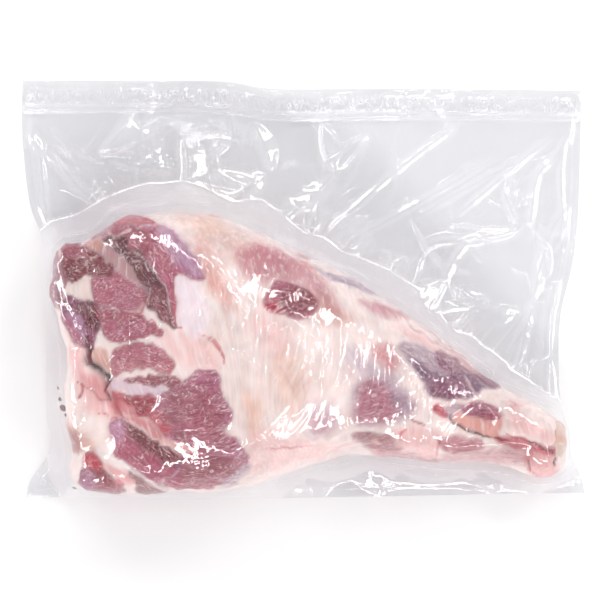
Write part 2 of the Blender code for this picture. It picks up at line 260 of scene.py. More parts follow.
    # Painted sheen: a faint lilac wash for the whitish film over the dark red muscle here.
    ("lilac", 4, 0.45, 0, None, [(-134, -62), (-127, -63), (-117, -66), (-99, -67), (-97, -70), (-104, -75),
        (-117, -73), (-126, -70), (-132, -71)]),
    ("red", 2.5, 0.7, 0, None, [(-134, -71), (-127, -71), (-127, -75), (-120, -82), (-114, -89),
        (-122, -88), (-127, -83), (-132, -77)]),
    ("red", 3, 0.8, 0, None, [(-110, -88), (-104, -85), (-99, -91), (-93, -96), (-94, -100), (-101, -97),
        (-106, -92)]),
    ("fat_pink", 1.8, 1.0, 0.2, None, [(-127, -89), (-120, -88), (-111, -90), (-104, -93), (-97, -101),
        (-86, -106), (-76, -111), (-59, -116), (-51, -118), (-61, -117), (-75, -115), (-83, -115),
        (-85, -116), (-88, -113), (-97, -110), (-102, -106), (-109, -102), (-117, -97), (-124, -93)]),
    ("red", 4, 0.5, 0, None, [(-126, -89), (-118, -89), (-108, -92), (-99, -101), (-101, -105),
        (-109, -100), (-118, -93)]),
    ("oxblood", 1.4, 1.0, 1.0, -38, [(-124, -93), (-117, -97), (-109, -102), (-101, -107), (-101, -110),
        (-95, -110), (-87, -113), (-84, -117), (-87, -121), (-92, -122), (-98, -119), (-104, -115),
        (-109, -112), (-115, -107), (-119, -102)]),
    ("mauve", 1.6, 1.0, 1.8, -40, [(-133, -92), (-126, -92), (-120, -102), (-113, -110), (-104, -115),
        (-99, -119), (-92, -123), (-88, -122), (-88, -126), (-91, -130), (-96, -132), (-101, -135),
        (-108, -132), (-115, -126), (-122, -121), (-129, -116), (-132, -109), (-134, -101)]),
    ("lilac", 5, 0.6, 0, -40, [(-133, -92), (-126, -93), (-124, -100), (-127, -107), (-132, -109),
        (-134, -101)]),
    ("mauve", 1.6, 1.0, 2.2, 4, [(-84, -116), (-73, -115), (-59, -117), (-44, -119), (-38, -120),
        (-42, -126), (-47, -130), (-52, -134), (-59, -137), (-77, -139), (-88, -139), (-95, -136),
        (-96, -133), (-91, -130), (-88, -125), (-84, -121)]),
    ("brown", 8, 0.8, 0, 4, [(-83, -117), (-68, -117), (-54, -119), (-47, -125), (-56, -132), (-72, -134),
        (-84, -132)]),
    ("veil", 4, 0.8, 0, 4, [(-59, -137), (-56, -132), (-47, -127), (-40, -121), (-38, -125), (-45, -132),
        (-53, -138)]),
    ("cream", 3, 0.8, 0, None, [(-145, -92), (-136, -91), (-134, -101), (-132, -110), (-131, -116),
        (-138, -116), (-144, -109)]),
    ("red", 1.8, 1.0, 2.6, 18, [(-155, -120), (-152, -115), (-147, -115), (-142, -118), (-140, -121),
        (-140, -127), (-146, -126), (-151, -126)]),
    ("brown", 2, 1.0, 2.4, 22, [(-156, -126), (-147, -126), (-138, -129), (-132, -135), (-126, -141),
        (-140, -143), (-151, -140), (-156, -134)]),
    ("lilac", 4, 0.5, 0, 22, [(-155, -126), (-149, -128), (-145, -134), (-149, -138), (-155, -134)]),
    ("fat_pink", 2.5, 1.0, 1.8, None, [(-139, -121), (-131, -124), (-122, -126), (-118, -130), (-117, -136),
        (-122, -138), (-129, -134), (-134, -129), (-139, -126)]),
    ("red", 2, 0.7, 0.4, None, [(-132, -133), (-127, -133), (-125, -136), (-127, -138), (-131, -136)]),
    ("oxblood", 2.5, 0.85, 0.6, -30, [(-120, -126), (-115, -128), (-108, -133), (-100, -136), (-94, -139),
        (-102, -142), (-113, -142), (-116, -136)]),
    # bare muscle on the thigh
    ("mauve", 2.5, 1.0, 1.2, 18, [(-27, -9), (-25, -3), (-20, 4), (-12, 5), (-4, 2), (4, -2), (9, -8),
        (9, -14), (5, -18), (-5, -19), (-14, -16), (-21, -16), (-26, -13)]),
    ("oxblood", 8, 0.7, 0, 18, [(-15, -2), (-5, 1), (4, -3), (8, -10), (4, -16), (-6, -17), (-14, -11)]),
    ("red", 4, 0.7, 0, 18, [(-27, -9), (-22, -6), (-17, -11), (-15, -16), (-22, -16), (-26, -13)]),
]

# Each line: colour, width, opacity, height (below 0 is a groove), the points that it runs through.
LINES = [
    ("clot", 1.8, 0.9, -1.2, [(176, -99), (178, -106), (178, -114), (176, -124)]),
    ("white", 1.0, 0.7, 0.3, [(-115, 26), (-107, 19), (-100, 9), (-95, -3), (-92, -16), (-90, -25)]),
    ("cream", 1.6, 0.7, 0.3, [(-136, 39), (-131, 37), (-126, 37), (-120, 40), (-117, 42)]),
    ("cream", 1.2, 0.6, 0.2, [(-122, 25), (-117, 26), (-111, 23)]),
    ("lilac", 1.1, 0.8, 0.3, [(-115, 41), (-109, 43), (-101, 44)]),
    ("cream", 1.0, 0.6, 0.2, [(-120, 18), (-115, 20), (-110, 21)]),
    ("cream", 1.1, 0.7, 0.2, [(-108, -11), (-107, -5), (-105, 1)]),
    ("cream", 1.0, 0.6, 0.2, [(-152, 21), (-147, 21), (-142, 22)]),
    ("cream", 0.9, 0.6, 0.2, [(-153, 23), (-151, 16), (-151, 12)]),
    ("white", 1.2, 0.7, 0.2, [(-142, -12), (-134, -13), (-127, -15)]),
    ("red", 1.8, 0.9, -0.3, [(-127, -15), (-122, -17), (-117, -17), (-113, -16), (-110, -9), (-109, -4)]),
    ("cream", 2.0, 0.7, 0.2, [(-123, -16), (-117, -15), (-113, -13), (-110, -9)]),
    ("red", 1.3, 0.8, -0.3, [(-147, -6), (-145, -13), (-142, -18), (-142, -25)]),
    ("red", 1.3, 0.8, -0.4, [(-109, -19), (-104, -23), (-100, -31)]),
    ("red", 1.4, 0.7, -0.3, [(-90, 6), (-90, -9), (-89, -23), (-85, -26), (-83, -25)]),
    ("lilac", 1.0, 0.6, 0.2, [(-134, -33), (-127, -30), (-122, -27), (-117, -23)]),
    ("clot", 4.2, 1.0, -2.8, [(-150, -32), (-150, -41), (-149, -50), (-144, -55), (-140, -59),
      (-136, -62), (-138, -70)]),
    ("oxblood", 4.0, 0.8, -0.8, [(-149, -30), (-150, -42), (-150, -53)]),
    ("blood", 5.5, 0.5, 0, [(-140, -62), (-134, -71), (-131, -80), (-127, -89)]),
    ("clot", 1.6, 0.9, -0.8, [(-138, -69), (-136, -74), (-134, -78)]),
    ("blood", 1.5, 0.8, -0.3, [(-158, -65), (-155, -67), (-156, -73), (-158, -77)]),
    ("blood", 1.3, 0.6, -0.3, [(-158, -65), (-149, -70), (-142, -75), (-134, -78)]),
    ("blood", 1.6, 0.7, -0.3, [(-131, -78), (-127, -85), (-126, -91)]),
    ("cream", 1.6, 0.8, 0.3, [(-85, -65), (-81, -61), (-76, -57)]),
    ("red", 1.2, 0.7, 0, [(-93, -58), (-91, -56), (-90, -55)]),
    ("red", 1.6, 0.9, -0.4, [(-67, -35), (-60, -40), (-56, -46), (-55, -52)]),
    ("red", 1.2, 0.7, -0.3, [(-73, -30), (-66, -33), (-59, -39), (-57, -47)]),
    ("white", 2.2, 0.85, 0.5, [(-140, -115), (-129, -118), (-118, -126), (-108, -133), (-99, -137),
      (-90, -139)]),
    ("cream", 2.6, 0.8, 0.3, [(-92, -139), (-77, -141), (-61, -139), (-52, -135)]),
    ("lilac", 1.8, 0.6, 0.3, [(-85, -121), (-88, -126), (-92, -130)]),
    ("cream", 1.3, 0.7, 0.3, [(-126, -91), (-118, -93), (-104, -103), (-90, -111), (-84, -115)]),
    ("red", 1.0, 0.7, -0.3, [(-134, -91), (-133, -89), (-129, -89)]),
    ("red", 1.4, 0.7, -0.3, [(-142, -87), (-138, -87), (-135, -89)]),
    ("amber", 2.4, 0.9, 0.4, [(-5, 21), (2, 17), (8, 12), (15, 6)]),
    ("rose", 3.0, 0.8, 0.2, [(-6, 28), (-1, 26), (5, 22)]),
    ("red", 1.2, 0.5, -0.2, [(-67, 53), (-60, 50), (-53, 51), (-46, 46)]),
    ("red", 1.0, 0.4, -0.2, [(-78, 54), (-72, 51), (-67, 47)]),
    ("amber", 1.4, 0.5, 0, [(-15, -53), (-10, -64), (-6, -77)]),
    ("amber", 1.2, 0.5, 0, [(-1, -53), (1, -66), (-1, -80)]),
    ("rose", 1.6, 0.5, 0, [(70, -21), (86, -33), (102, -43), (116, -54), (130, -63)]),
    ("rose", 1.2, 0.5, 0, [(77, -22), (93, -34), (111, -48), (125, -58)]),
    ("cream", 1.6, 0.7, 0.4, [(112, -61), (115, -67), (120, -73)]),
    ("cream", 3.0, 0.6, 0.5, [(65, -47), (74, -60), (81, -71), (89, -82)]),
    ("clot", 1.8, 0.95, -1.4, [(102, -88), (105, -94), (114, -97), (123, -101), (133, -104)]),
    ("blood", 1.6, 0.9, -0.8, [(133, -104), (138, -105), (145, -106)]),
    ("clot", 1.3, 0.85, -1.2, [(155, -105), (165, -109), (173, -113), (176, -117)]),
    ("red", 1.6, 0.8, -0.6, [(140, -100), (149, -104), (157, -106)]),
    ("blood", 1.5, 0.8, -0.3, [(73, -89), (79, -93), (86, -94)]),
    ("red", 1.2, 0.7, -0.3, [(66, -106), (67, -100), (71, -98)]),
    ("red", 1.3, 0.7, -0.3, [(92, -116), (95, -108), (94, -103)]),
    ("red", 1.3, 0.7, -0.3, [(143, -77), (149, -82), (152, -83)]),
    ("blood", 1.3, 0.8, -0.4, [(157, -119), (157, -125), (161, -130)]),
    ("red", 1.5, 0.5, -0.3, [(-30, -111), (-12, -110), (7, -109)]),
    ("clot", 1.2, 0.7, -0.6, [(-92, -122), (-87, -121), (-84, -117)]),
]

# ---------------------------------------------------------------- curves, distances and noise


def through(points, samples, closed=False):
    """A smooth Catmull-Rom curve through the points."""
    knots = np.array(points, float)
    if closed:
        knots = np.vstack([knots[-1], knots, knots[:2]])
    else:
        knots = np.vstack([2 * knots[0] - knots[1], knots, 2 * knots[-1] - knots[-2]])
    t = np.linspace(0, 1, samples, endpoint=False)[:, None]
    runs = []
    for a, b, c, d in zip(knots, knots[1:], knots[2:], knots[3:]):
        runs.append(0.5 * (2 * b + (c - a) * t + (2 * a - 5 * b + 4 * c - d) * t**2
                           + (3 * b - a - 3 * c + d) * t**3))
    curve = np.vstack(runs)
    return curve if closed else np.vstack([curve, knots[-2]])


def evenly(curve, count):
    """The curve as count points, evenly spaced along it."""
    along = np.concatenate([[0], np.cumsum(np.linalg.norm(np.diff(curve, axis=0), axis=1))])
    at = np.linspace(0, along[-1], count)
    return np.stack([np.interp(at, along, curve[:, k]) for k in range(2)], axis=1)


def profile(table, x):
    """A size that varies smoothly along X."""
    curve = through(table, 12)
    return np.interp(x, curve[:, 0], curve[:, 1])


def leg_outline():
    return evenly(through(LEG_OUTLINE, 8, closed=True), OUTLINE_CORNERS)


def smooth_max(a, b, softness):
    """The larger of two heights, with the step between them rounded off."""
    share = np.clip(0.5 + 0.5 * (a - b) / softness, 0, 1)
    return b + (a - b) * share + softness * share * (1 - share)


def smooth_step(value, low, high):
    """From 0 at low to 1 at high, with no kink at either end."""
    share = np.clip((value - low) / (high - low), 0, 1)
    return share * share * (3 - 2 * share)


def to_segments(points, start, end):
    """Distance from points to segments, with the nearest segment and how far along it."""
    edge = end - start
    offset = points[:, None, :] - start
    share = np.clip((offset * edge).sum(2) / (edge**2).sum(1), 0, 1)
    foot = start + edge * share[..., None]
    distance = np.linalg.norm(points[:, None, :] - foot, axis=2)
    best = distance.argmin(1)
    rows = np.arange(len(points))
    return distance[rows, best], best + share[rows, best], foot[rows, best]


def inside_distance(points, outline):
    """Distance to a closed outline, positive inside it, and the outline's nearest point."""
    start, end = outline, np.roll(outline, -1, axis=0)
    distance, _, foot = to_segments(points, start, end)
    crosses = (start[:, 1] > points[:, None, 1]) != (end[:, 1] > points[:, None, 1])
    run = np.where(end[:, 1] == start[:, 1], 1, end[:, 1] - start[:, 1])
    reach = start[:, 0] + (points[:, None, 1] - start[:, 1]) * (end[:, 0] - start[:, 0]) / run
    odd = (crosses & (points[:, None, 0] < reach)).sum(1) % 2 == 1
    return np.where(odd, distance, -distance), foot


def waves(points, reach, seed, stretch=(1, 1, 1), count=18):
    """A smooth random value about 0 at each point, which changes over about reach millimetres.

    Every use has its own seed, so that no two patterns line up.
    """
    rng = np.random.default_rng(seed)
    direction = rng.normal(size=(count, 3))
    direction /= np.linalg.norm(direction, axis=1)[:, None]
    turns = direction * rng.uniform(0.5, 1.5, (count, 1)) / (2 * reach * np.array(stretch))
    phase = rng.uniform(0, 2 * math.pi, count)
    return np.sin(points @ turns.T * 2 * math.pi + phase).sum(1) / math.sqrt(count / 2)


def screen_colour(name):
    """A named colour as the linear values that a shader takes."""
    value = np.array(COLOURS[name]) / 255
    return np.where(value < 0.04045, value / 12.92, ((value + 0.055) / 1.055) ** 2.4)


# ---------------------------------------------------------------- meshes


def mesh_object(name, points, faces, material=None):
    """A smooth-shaded object from points in millimetres."""
    data = bpy.data.meshes.new(name)
    data.from_pydata(np.asarray(points) * MM, [], faces)
    data.update()
    data.shade_smooth()
    if material:
        data.materials.append(material)
    made = bpy.data.objects.new(name, data)
    bpy.context.scene.collection.objects.link(made)
    return made


def points_of(made):
    flat = np.empty(len(made.data.vertices) * 3, np.float32)
    made.data.vertices.foreach_get("co", flat)
    return flat.reshape(-1, 3).astype(float) / MM


def normals_of(made):
    flat = np.empty(len(made.data.vertices) * 3, np.float32)
    made.data.vertex_normals.foreach_get("vector", flat)
    return flat.reshape(-1, 3).astype(float)


def move_points(made, points):
    made.data.vertices.foreach_set("co", (points * MM).astype(np.float32).ravel())
    made.data.update()


def apply_modifiers(made):
    graph = bpy.context.evaluated_depsgraph_get()
    data = bpy.data.meshes.new_from_object(made.evaluated_get(graph))
    made.modifiers.clear()
    made.data = data
    data.shade_smooth()


ATTRIBUTE_FIELDS = {"FLOAT": "value", "FLOAT_COLOR": "color", "FLOAT_VECTOR": "vector"}


def add_attribute(made, name, kind, values):
    attribute = made.data.attributes.new(name, kind, "POINT")
    field = ATTRIBUTE_FIELDS[kind]
    attribute.data.foreach_set(field, np.asarray(values, np.float32).ravel())


# ---------------------------------------------------------------- the leg's shape

PLAN_CELL = 2.0
VOXEL = 1.36  # size of the finished faces
LUMPS = [((0.6, 16), 21), ((0.22, 3.2), 22)]  # height and reach, and seed, of the large and the small ones


def swell(table, x, y):
    """The swellings' total height at each point."""
    total = np.zeros_like(x)
    for centre_x, centre_y, reach_x, reach_y, height in table:
        total += height * np.exp(-(((x - centre_x) / reach_x) ** 2) - ((y - centre_y) / reach_y) ** 2)
    return total


def meat_surfaces(x, y, inside):
    """The plain leg's upper and lower heights, from the distance inside its outline."""
    level = profile(WIDEST_LEVEL, x)
    depth = np.clip(inside / profile(HALF_WIDTH, x), 0, 1)
    bulge = (1 - (1 - depth) ** ROUNDNESS) ** (1 / ROUNDNESS)
    crown = profile(CROWN, x) + swell(SWELLINGS, x, y) - SKIN_GAP
    cut = CUT_CREST_HEIGHT - CUT_SLOPE * (CUT_CREST_X - x) - SKIN_GAP
    upper = -smooth_max(-(level + (crown - level) * bulge), -cut, CUT_EDGE_SOFTNESS)
    lower = np.maximum(level - (level + FLATTENED) * bulge, SKIN_GAP)
    return upper, lower


def shell_faces(inside):
    """Faces of an upper and a lower sheet over a grid, kept inside the outline and joined along it."""
    index = np.arange(inside.size).reshape(inside.shape)
    below = np.where(inside == 0, index, index + inside.size)
    faces = []
    for i in range(inside.shape[0] - 1):
        for j in range(inside.shape[1] - 1):
            corners = [(i, j), (i + 1, j), (i + 1, j + 1), (i, j + 1)]
            kept = [c for c in corners if inside[c] >= 0]
            if len(kept) < 3 or all(inside[c] == 0 for c in kept):
                continue
            faces.append([int(index[c]) for c in kept])
            faces.append([int(below[c]) for c in reversed(kept)])
    return faces


def plain_leg():
    """The closed, plain form of the leg, with even faces all over."""
    outline = leg_outline()
    low, high = outline.min(0) - PLAN_CELL, outline.max(0) + PLAN_CELL
    xs, ys = np.arange(low[0], high[0], PLAN_CELL), np.arange(low[1], high[1], PLAN_CELL)
    plan = np.stack(np.meshgrid(xs, ys, indexing="ij"), axis=2).reshape(-1, 2)
    inside, foot = inside_distance(plan, outline)
    inside -= SKIN_GAP
    at_outline = abs(inside) < PLAN_CELL / 2
    plan[at_outline] = foot[at_outline]
    inside[at_outline] = 0
    upper, lower = meat_surfaces(plan[:, 0], plan[:, 1], np.maximum(inside, 0))
    faces = shell_faces(inside.reshape(len(xs), len(ys)))
    points = np.vstack([np.column_stack([plan, upper]), np.column_stack([plan, lower])])
    leg = mesh_object("leg_of_lamb", points, faces)
    remesh = leg.modifiers.new("even_faces", "REMESH")
    remesh.mode = "VOXEL"
    remesh.voxel_size = VOXEL * MM
    smooth = leg.modifiers.new("smooth", "SMOOTH")
    smooth.factor = 0.5
    smooth.iterations = 6
    apply_modifiers(leg)
    return leg


# ---------------------------------------------------------------- painting and modelling the surface

EDGE_RAGGED = 0.55  # how unevenly the patches' edges run
RIM = 3.5  # how far in from its edge a muscle rounds off
GROOVE = (0.8, 1.4)  # depth and reach of the gap round a bare muscle
BARE_SPREAD = 0.9  # how far a bare muscle reaches past its outline
FAT_STREAKS = 96.0  # the direction in which the fat's streaks run, in degrees


class Skin:
    """What is painted on the leg at each point: colour, bareness, direction of the fibres and height."""

    def __init__(self, points):
        self.points = points
        warp = np.column_stack([waves(points, 7, 11), waves(points, 7, 12)]) * EDGE_RAGGED
        warp += np.column_stack([waves(points, 2.5, 13), waves(points, 2.5, 14)]) * EDGE_RAGGED * 0.35
        self.plan = points[:, :2] + warp
        self.colour = np.tile(screen_colour("fat"), (len(points), 1))
        self.bare = np.zeros(len(points))
        self.height = np.zeros(len(points))
        self.angle = math.radians(FAT_STREAKS) + waves(points, 60, 15) * 0.12

    def near(self, curve, margin):
        return ((self.plan > curve.min(0) - margin) & (self.plan < curve.max(0) + margin)).all(1)

    def tint(self, near, name, share):
        self.colour[near] += (screen_colour(name) - self.colour[near]) * share[:, None]

    def patch(self, name, softness, opacity, rise, fibres, outline):
        curve = through(outline, 4, closed=True)
        near = self.near(curve, softness + 2)
        inside = inside_distance(self.plan[near], curve)[0] + (0 if fibres is None else BARE_SPREAD)
        share = smooth_step(inside, -softness / 2, softness / 2) * opacity
        self.tint(near, name, share)
        self.height[near] += rise * (1 - np.exp(-np.maximum(inside, 0) / RIM))
        if rise >= 1:
            self.height[near] -= GROOVE[0] * np.exp(-((inside / GROOVE[1]) ** 2))
        if fibres is None:
            self.bare[near] *= 1 - share
        else:
            self.bare[near] += (1 - self.bare[near]) * share
            self.angle[np.flatnonzero(near)[inside > 0]] = math.radians(fibres)

    def line(self, name, width, opacity, rise, route):
        curve = through(route, 5)
        near = self.near(curve, 3 * width)
        distance, along, _ = to_segments(self.plan[near], curve[:-1], curve[1:])
        taper = np.sqrt(np.sin(math.pi * np.clip(along / (len(curve) - 1), 0.02, 0.98)))
        share = np.exp(-((distance / (0.6 * width * taper)) ** 2))
        self.tint(near, name, share * opacity)
        self.height[near] += rise * share

    def fibre(self):
        """Coordinates along the fibres, across them and up."""
        x, y, z = self.points.T
        cos, sin = np.cos(self.angle), np.sin(self.angle)
        return np.column_stack([x * cos + y * sin, y * cos - x * sin, z])


def build_leg(material):
    leg = plain_leg()
    points, normals = points_of(leg), normals_of(leg)
    skin = Skin(points)
    for patch in PATCHES:
        skin.patch(*patch)
    for line in LINES:
        skin.line(*line)
    large, small = (height * waves(points, reach, seed) for (height, reach), seed in LUMPS)
    off_table = smooth_step(points[:, 2], SKIN_GAP + 1, 14)
    move_points(leg, points + normals * ((skin.height + large + small) * off_table)[:, None])
    tone = 1 + 0.035 * waves(points, 22, 23) + 0.03 * waves(points, 6, 24)
    colour = np.clip(skin.colour * tone[:, None], 0, 1)
    add_attribute(leg, "tone", "FLOAT_COLOR", np.column_stack([colour, np.ones(len(colour))]))
    add_attribute(leg, "bare", "FLOAT", skin.bare)
    add_attribute(leg, "fibre", "FLOAT_VECTOR", skin.fibre())
    leg.data.materials.append(material)
    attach(leg, "root")
    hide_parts("sealed_bag")
    return leg


# ---------------------------------------------------------------- materials


class Material:
    """A node material, built up with short calls that each return an output socket."""

    def __init__(self, name):
        self.made = bpy.data.materials.new(name)
        self.made.use_nodes = True
        self.tree = self.made.node_tree
        self.shader = self.tree.nodes["Principled BSDF"]
        self.end = self.tree.nodes["Material Output"]

    def node(self, kind, settings=(), **inputs):
        made = self.tree.nodes.new(kind)
        for key, value in dict(settings).items():
            setattr(made, key, value)
        for key, value in inputs.items():
            self.feed(made.inputs[key.replace("_", " ")], value)
        return made

    def feed(self, socket, value):
        if isinstance(value, bpy.types.NodeSocket):
            self.tree.links.new(value, socket)
        else:
            socket.default_value = value

    def set(self, **inputs):
        for key, value in inputs.items():
            self.feed(self.shader.inputs[key.replace("_", " ")], value)

    def attribute(self, name, output="Color"):
        return self.node("ShaderNodeAttribute", {"attribute_name": name}).outputs[output]

    def millimetres(self):
        place = self.node("ShaderNodeTexCoord").outputs["Object"]
        return self.scaled(place, (1 / MM,) * 3)

    def scaled(self, vector, by):
        made = self.node("ShaderNodeVectorMath", {"operation": "MULTIPLY"})
        self.feed(made.inputs[0], vector)
        made.inputs[1].default_value = by
        return made.outputs[0]

    def noise(self, vector, scale, detail=3.0, rough=0.55, warp=0.0):
        made = self.node("ShaderNodeTexNoise", Vector=vector, Scale=scale, Detail=detail, Roughness=rough,
                         Distortion=warp)
        return made.outputs["Fac"]

    def ramp(self, value, low, high, start=0.0, end=1.0):
        made = self.node("ShaderNodeMapRange", {"interpolation_type": "SMOOTHSTEP"}, Value=value)
        for key, number in {"From Min": low, "From Max": high, "To Min": start, "To Max": end}.items():
            made.inputs[key].default_value = number
        return made.outputs["Result"]

    def math(self, operation, a, b=0.0):
        made = self.node("ShaderNodeMath", {"operation": operation})
        self.feed(made.inputs[0], a)
        self.feed(made.inputs[1], b)
        return made.outputs[0]

    def mix(self, share, a, b, blend="MIX"):
        made = self.node("ShaderNodeMix", {"data_type": "RGBA", "blend_type": blend})
        self.feed(made.inputs["Factor"], share)
        for socket, value in ((made.inputs[6], a), (made.inputs[7], b)):
            self.feed(socket, value if isinstance(value, bpy.types.NodeSocket) else (*value, 1))
        return made.outputs[2]

    def bump(self, height, depth, strength=1.0, before=None):
        made = self.node("ShaderNodeBump", Height=height, Distance=depth * MM, Strength=strength)
        if before:
            self.feed(made.inputs["Normal"], before)
        return made.outputs["Normal"]


def threads(material, vector, scale, width, warp=0.6):
    """Thin winding lines: 1 on a line, 0 away from it."""
    value = material.noise(vector, scale, 3.0, 0.5, warp)
    away = material.math("ABSOLUTE", material.math("SUBTRACT", value, 0.5))
    return material.ramp(away, 0.0, width, 1.0, 0.0)


def muscle_colour(m, place, fibre, tone, grain, mottle):
    """Bare muscle: dark grain along the fibres, paler flecks, and winding lines of white fat."""
    coarse = m.noise(m.scaled(fibre, (0.05, 0.28, 0.2)), 1.0, 3.0, 0.55)
    marbling = m.math("MULTIPLY", threads(m, m.scaled(fibre, (0.10, 0.24, 0.2)), 1.0, 0.022, 1.2),
                      m.ramp(m.noise(place, 0.07, 2.0), 0.36, 0.56))
    flecks = m.math("MULTIPLY", threads(m, m.scaled(fibre, (0.30, 0.55, 0.5)), 1.0, 0.03, 1.0),
                    m.ramp(m.noise(place, 0.12, 3.0), 0.45, 0.60))
    muscle = m.mix(m.ramp(grain, 0.35, 0.70), tone, (0.72, 0.56, 0.58), "MULTIPLY")
    muscle = m.mix(m.ramp(coarse, 0.40, 0.66, 0.0, 0.6), muscle, (0.76, 0.62, 0.64), "MULTIPLY")
    muscle = m.mix(m.ramp(mottle, 0.52, 0.7, 0.0, 0.3), muscle, (0.80, 0.50, 0.54))
    muscle = m.mix(m.math("MULTIPLY", flecks, 0.5), muscle, (0.85, 0.62, 0.64))
    return m.mix(m.math("MULTIPLY", marbling, 0.9), muscle, (0.92, 0.76, 0.74))


def fat_colour(m, place, fibre, tone, streaks):
    """Fat and the films of tissue over it: warm and pale streaks, and fine veins."""
    veins = m.math("MULTIPLY", threads(m, m.scaled(fibre, (0.07, 0.16, 0.15)), 1.0, 0.012, 1.5),
                   m.ramp(m.noise(place, 0.05, 2.0), 0.5, 0.66))
    fat = m.mix(m.ramp(streaks, 0.46, 0.70, 0.0, 0.5), tone, (0.97, 0.80, 0.76), "MULTIPLY")
    fat = m.mix(m.ramp(streaks, 0.50, 0.30, 0.0, 0.40), fat, (0.96, 0.90, 0.88))
    return m.mix(m.math("MULTIPLY", veins, 0.35), fat, (0.70, 0.30, 0.30))


def meat_material():
    """Wet raw meat: muscle where it is bare, and fat elsewhere."""
    m = Material("raw_lamb")
    place = m.millimetres()
    tone = m.attribute("tone")
    bare = m.attribute("bare", "Fac")
    fibre = m.attribute("fibre", "Vector")
    grain = m.noise(m.scaled(fibre, (0.10, 1.1, 0.5)), 1.0, 4.0, 0.6)
    streaks = m.noise(m.scaled(fibre, (0.035, 0.42, 0.3)), 1.0, 4.0, 0.6)
    mottle = m.noise(place, 0.45, 4.0, 0.65)
    muscle = muscle_colour(m, place, fibre, tone, grain, mottle)
    m.set(Base_Color=m.mix(bare, fat_colour(m, place, fibre, tone, streaks), muscle))
    m.set(Roughness=m.ramp(mottle, 0.3, 0.7, 0.42, 0.60), IOR=1.3)
    m.set(Subsurface_Weight=0.12, Subsurface_Scale=0.004, Subsurface_Radius=(1.0, 0.45, 0.35))
    fibres = m.bump(m.math("MULTIPLY", grain, bare), 0.35)
    lobes = m.bump(m.math("MULTIPLY", streaks, m.math("SUBTRACT", 1.0, bare)), 0.5, before=fibres)
    m.set(Normal=m.bump(mottle, 0.25, before=lobes))
    return m.made


def floor_material():
    m = Material("pale_floor")
    speckle = m.noise(m.millimetres(), 0.02, 2.0)
    m.set(Base_Color=m.mix(speckle, (0.95, 0.95, 0.95), (0.97, 0.97, 0.97)), Roughness=0.9)
    return m.made


# ---------------------------------------------------------------- the film's shape

# The bag's four edges seen from above. The thick meat draws both sides in between the seals.
TOP_EDGE = [(-198, 147), (-140, 147), (-60, 146.5), (-18, 141), (60, 141.5), (195.5, 140)]
BOTTOM_EDGE = [(-196, -147), (-150, -146.5), (-60, -147), (60, -145.5), (150, -143.5), (198, -143)]
LEFT_EDGE = [(-196, -147), (-192, -134), (-180, -116), (-178, -100), (-181, -84), (-182, 22), (-193, 62),
             (-198, 110), (-198, 147)]
RIGHT_EDGE = [(198, -143), (194.5, -130), (188, -116), (187, -102), (180.5, -74), (180.5, -22), (190, 22),
              (194, 70), (195.5, 140)]
FILM_CELL = 1.1
FILM_ON_MEAT = 0.45  # gap between the film and the meat that it clings to
CLEARANCE_CELLS = 2  # how many cells the film keeps clear of the meat's steep sides
LOWEST_POINTS = {1: 0.3, -1: 0.15}  # each film's least height above the table
FILM_APART = 0.5  # gap between each film and their middle, beside the meat
FILM_MIRRORS = 0.09  # the share of light that the film mirrors where it is seen square on
FILM_HAZE = 0.012  # the share that it scatters
FILM_FROST = 0.45  # and how much more where the header is pressed
FILM_SINKS_OVER = 9.0  # how far beside the meat the film has sunk to about a third of its height
LOWEST_FILM = 1.2
WAVE_HEIGHT = 2.2  # how far the flat part of the bag lifts off the table in places
TAUT_PASSES = 60  # how far the film spans the hollows of what it covers
SIDE_SEAL = 7.0
HEADER = (6.0, 17.0)  # the embossed band, measured from the top edge
HEADER_LINES = (17.0, 20.5)  # two straight lines pressed below that band
HEADER_SEED = 71
EMBOSSING = 1.4
FILMS = {"upper_film": (1, 40), "lower_film": (-1, 50)}  # which way each film bulges, and its seed
CREST_WIDENING = 1.25
BLADE_REACH = 6.0  # a side of a crease that reaches this far is flat
BLADE_SLOPE = 0.47  # it leans by half the tilt of the softboxes, so that it mirrors one of them

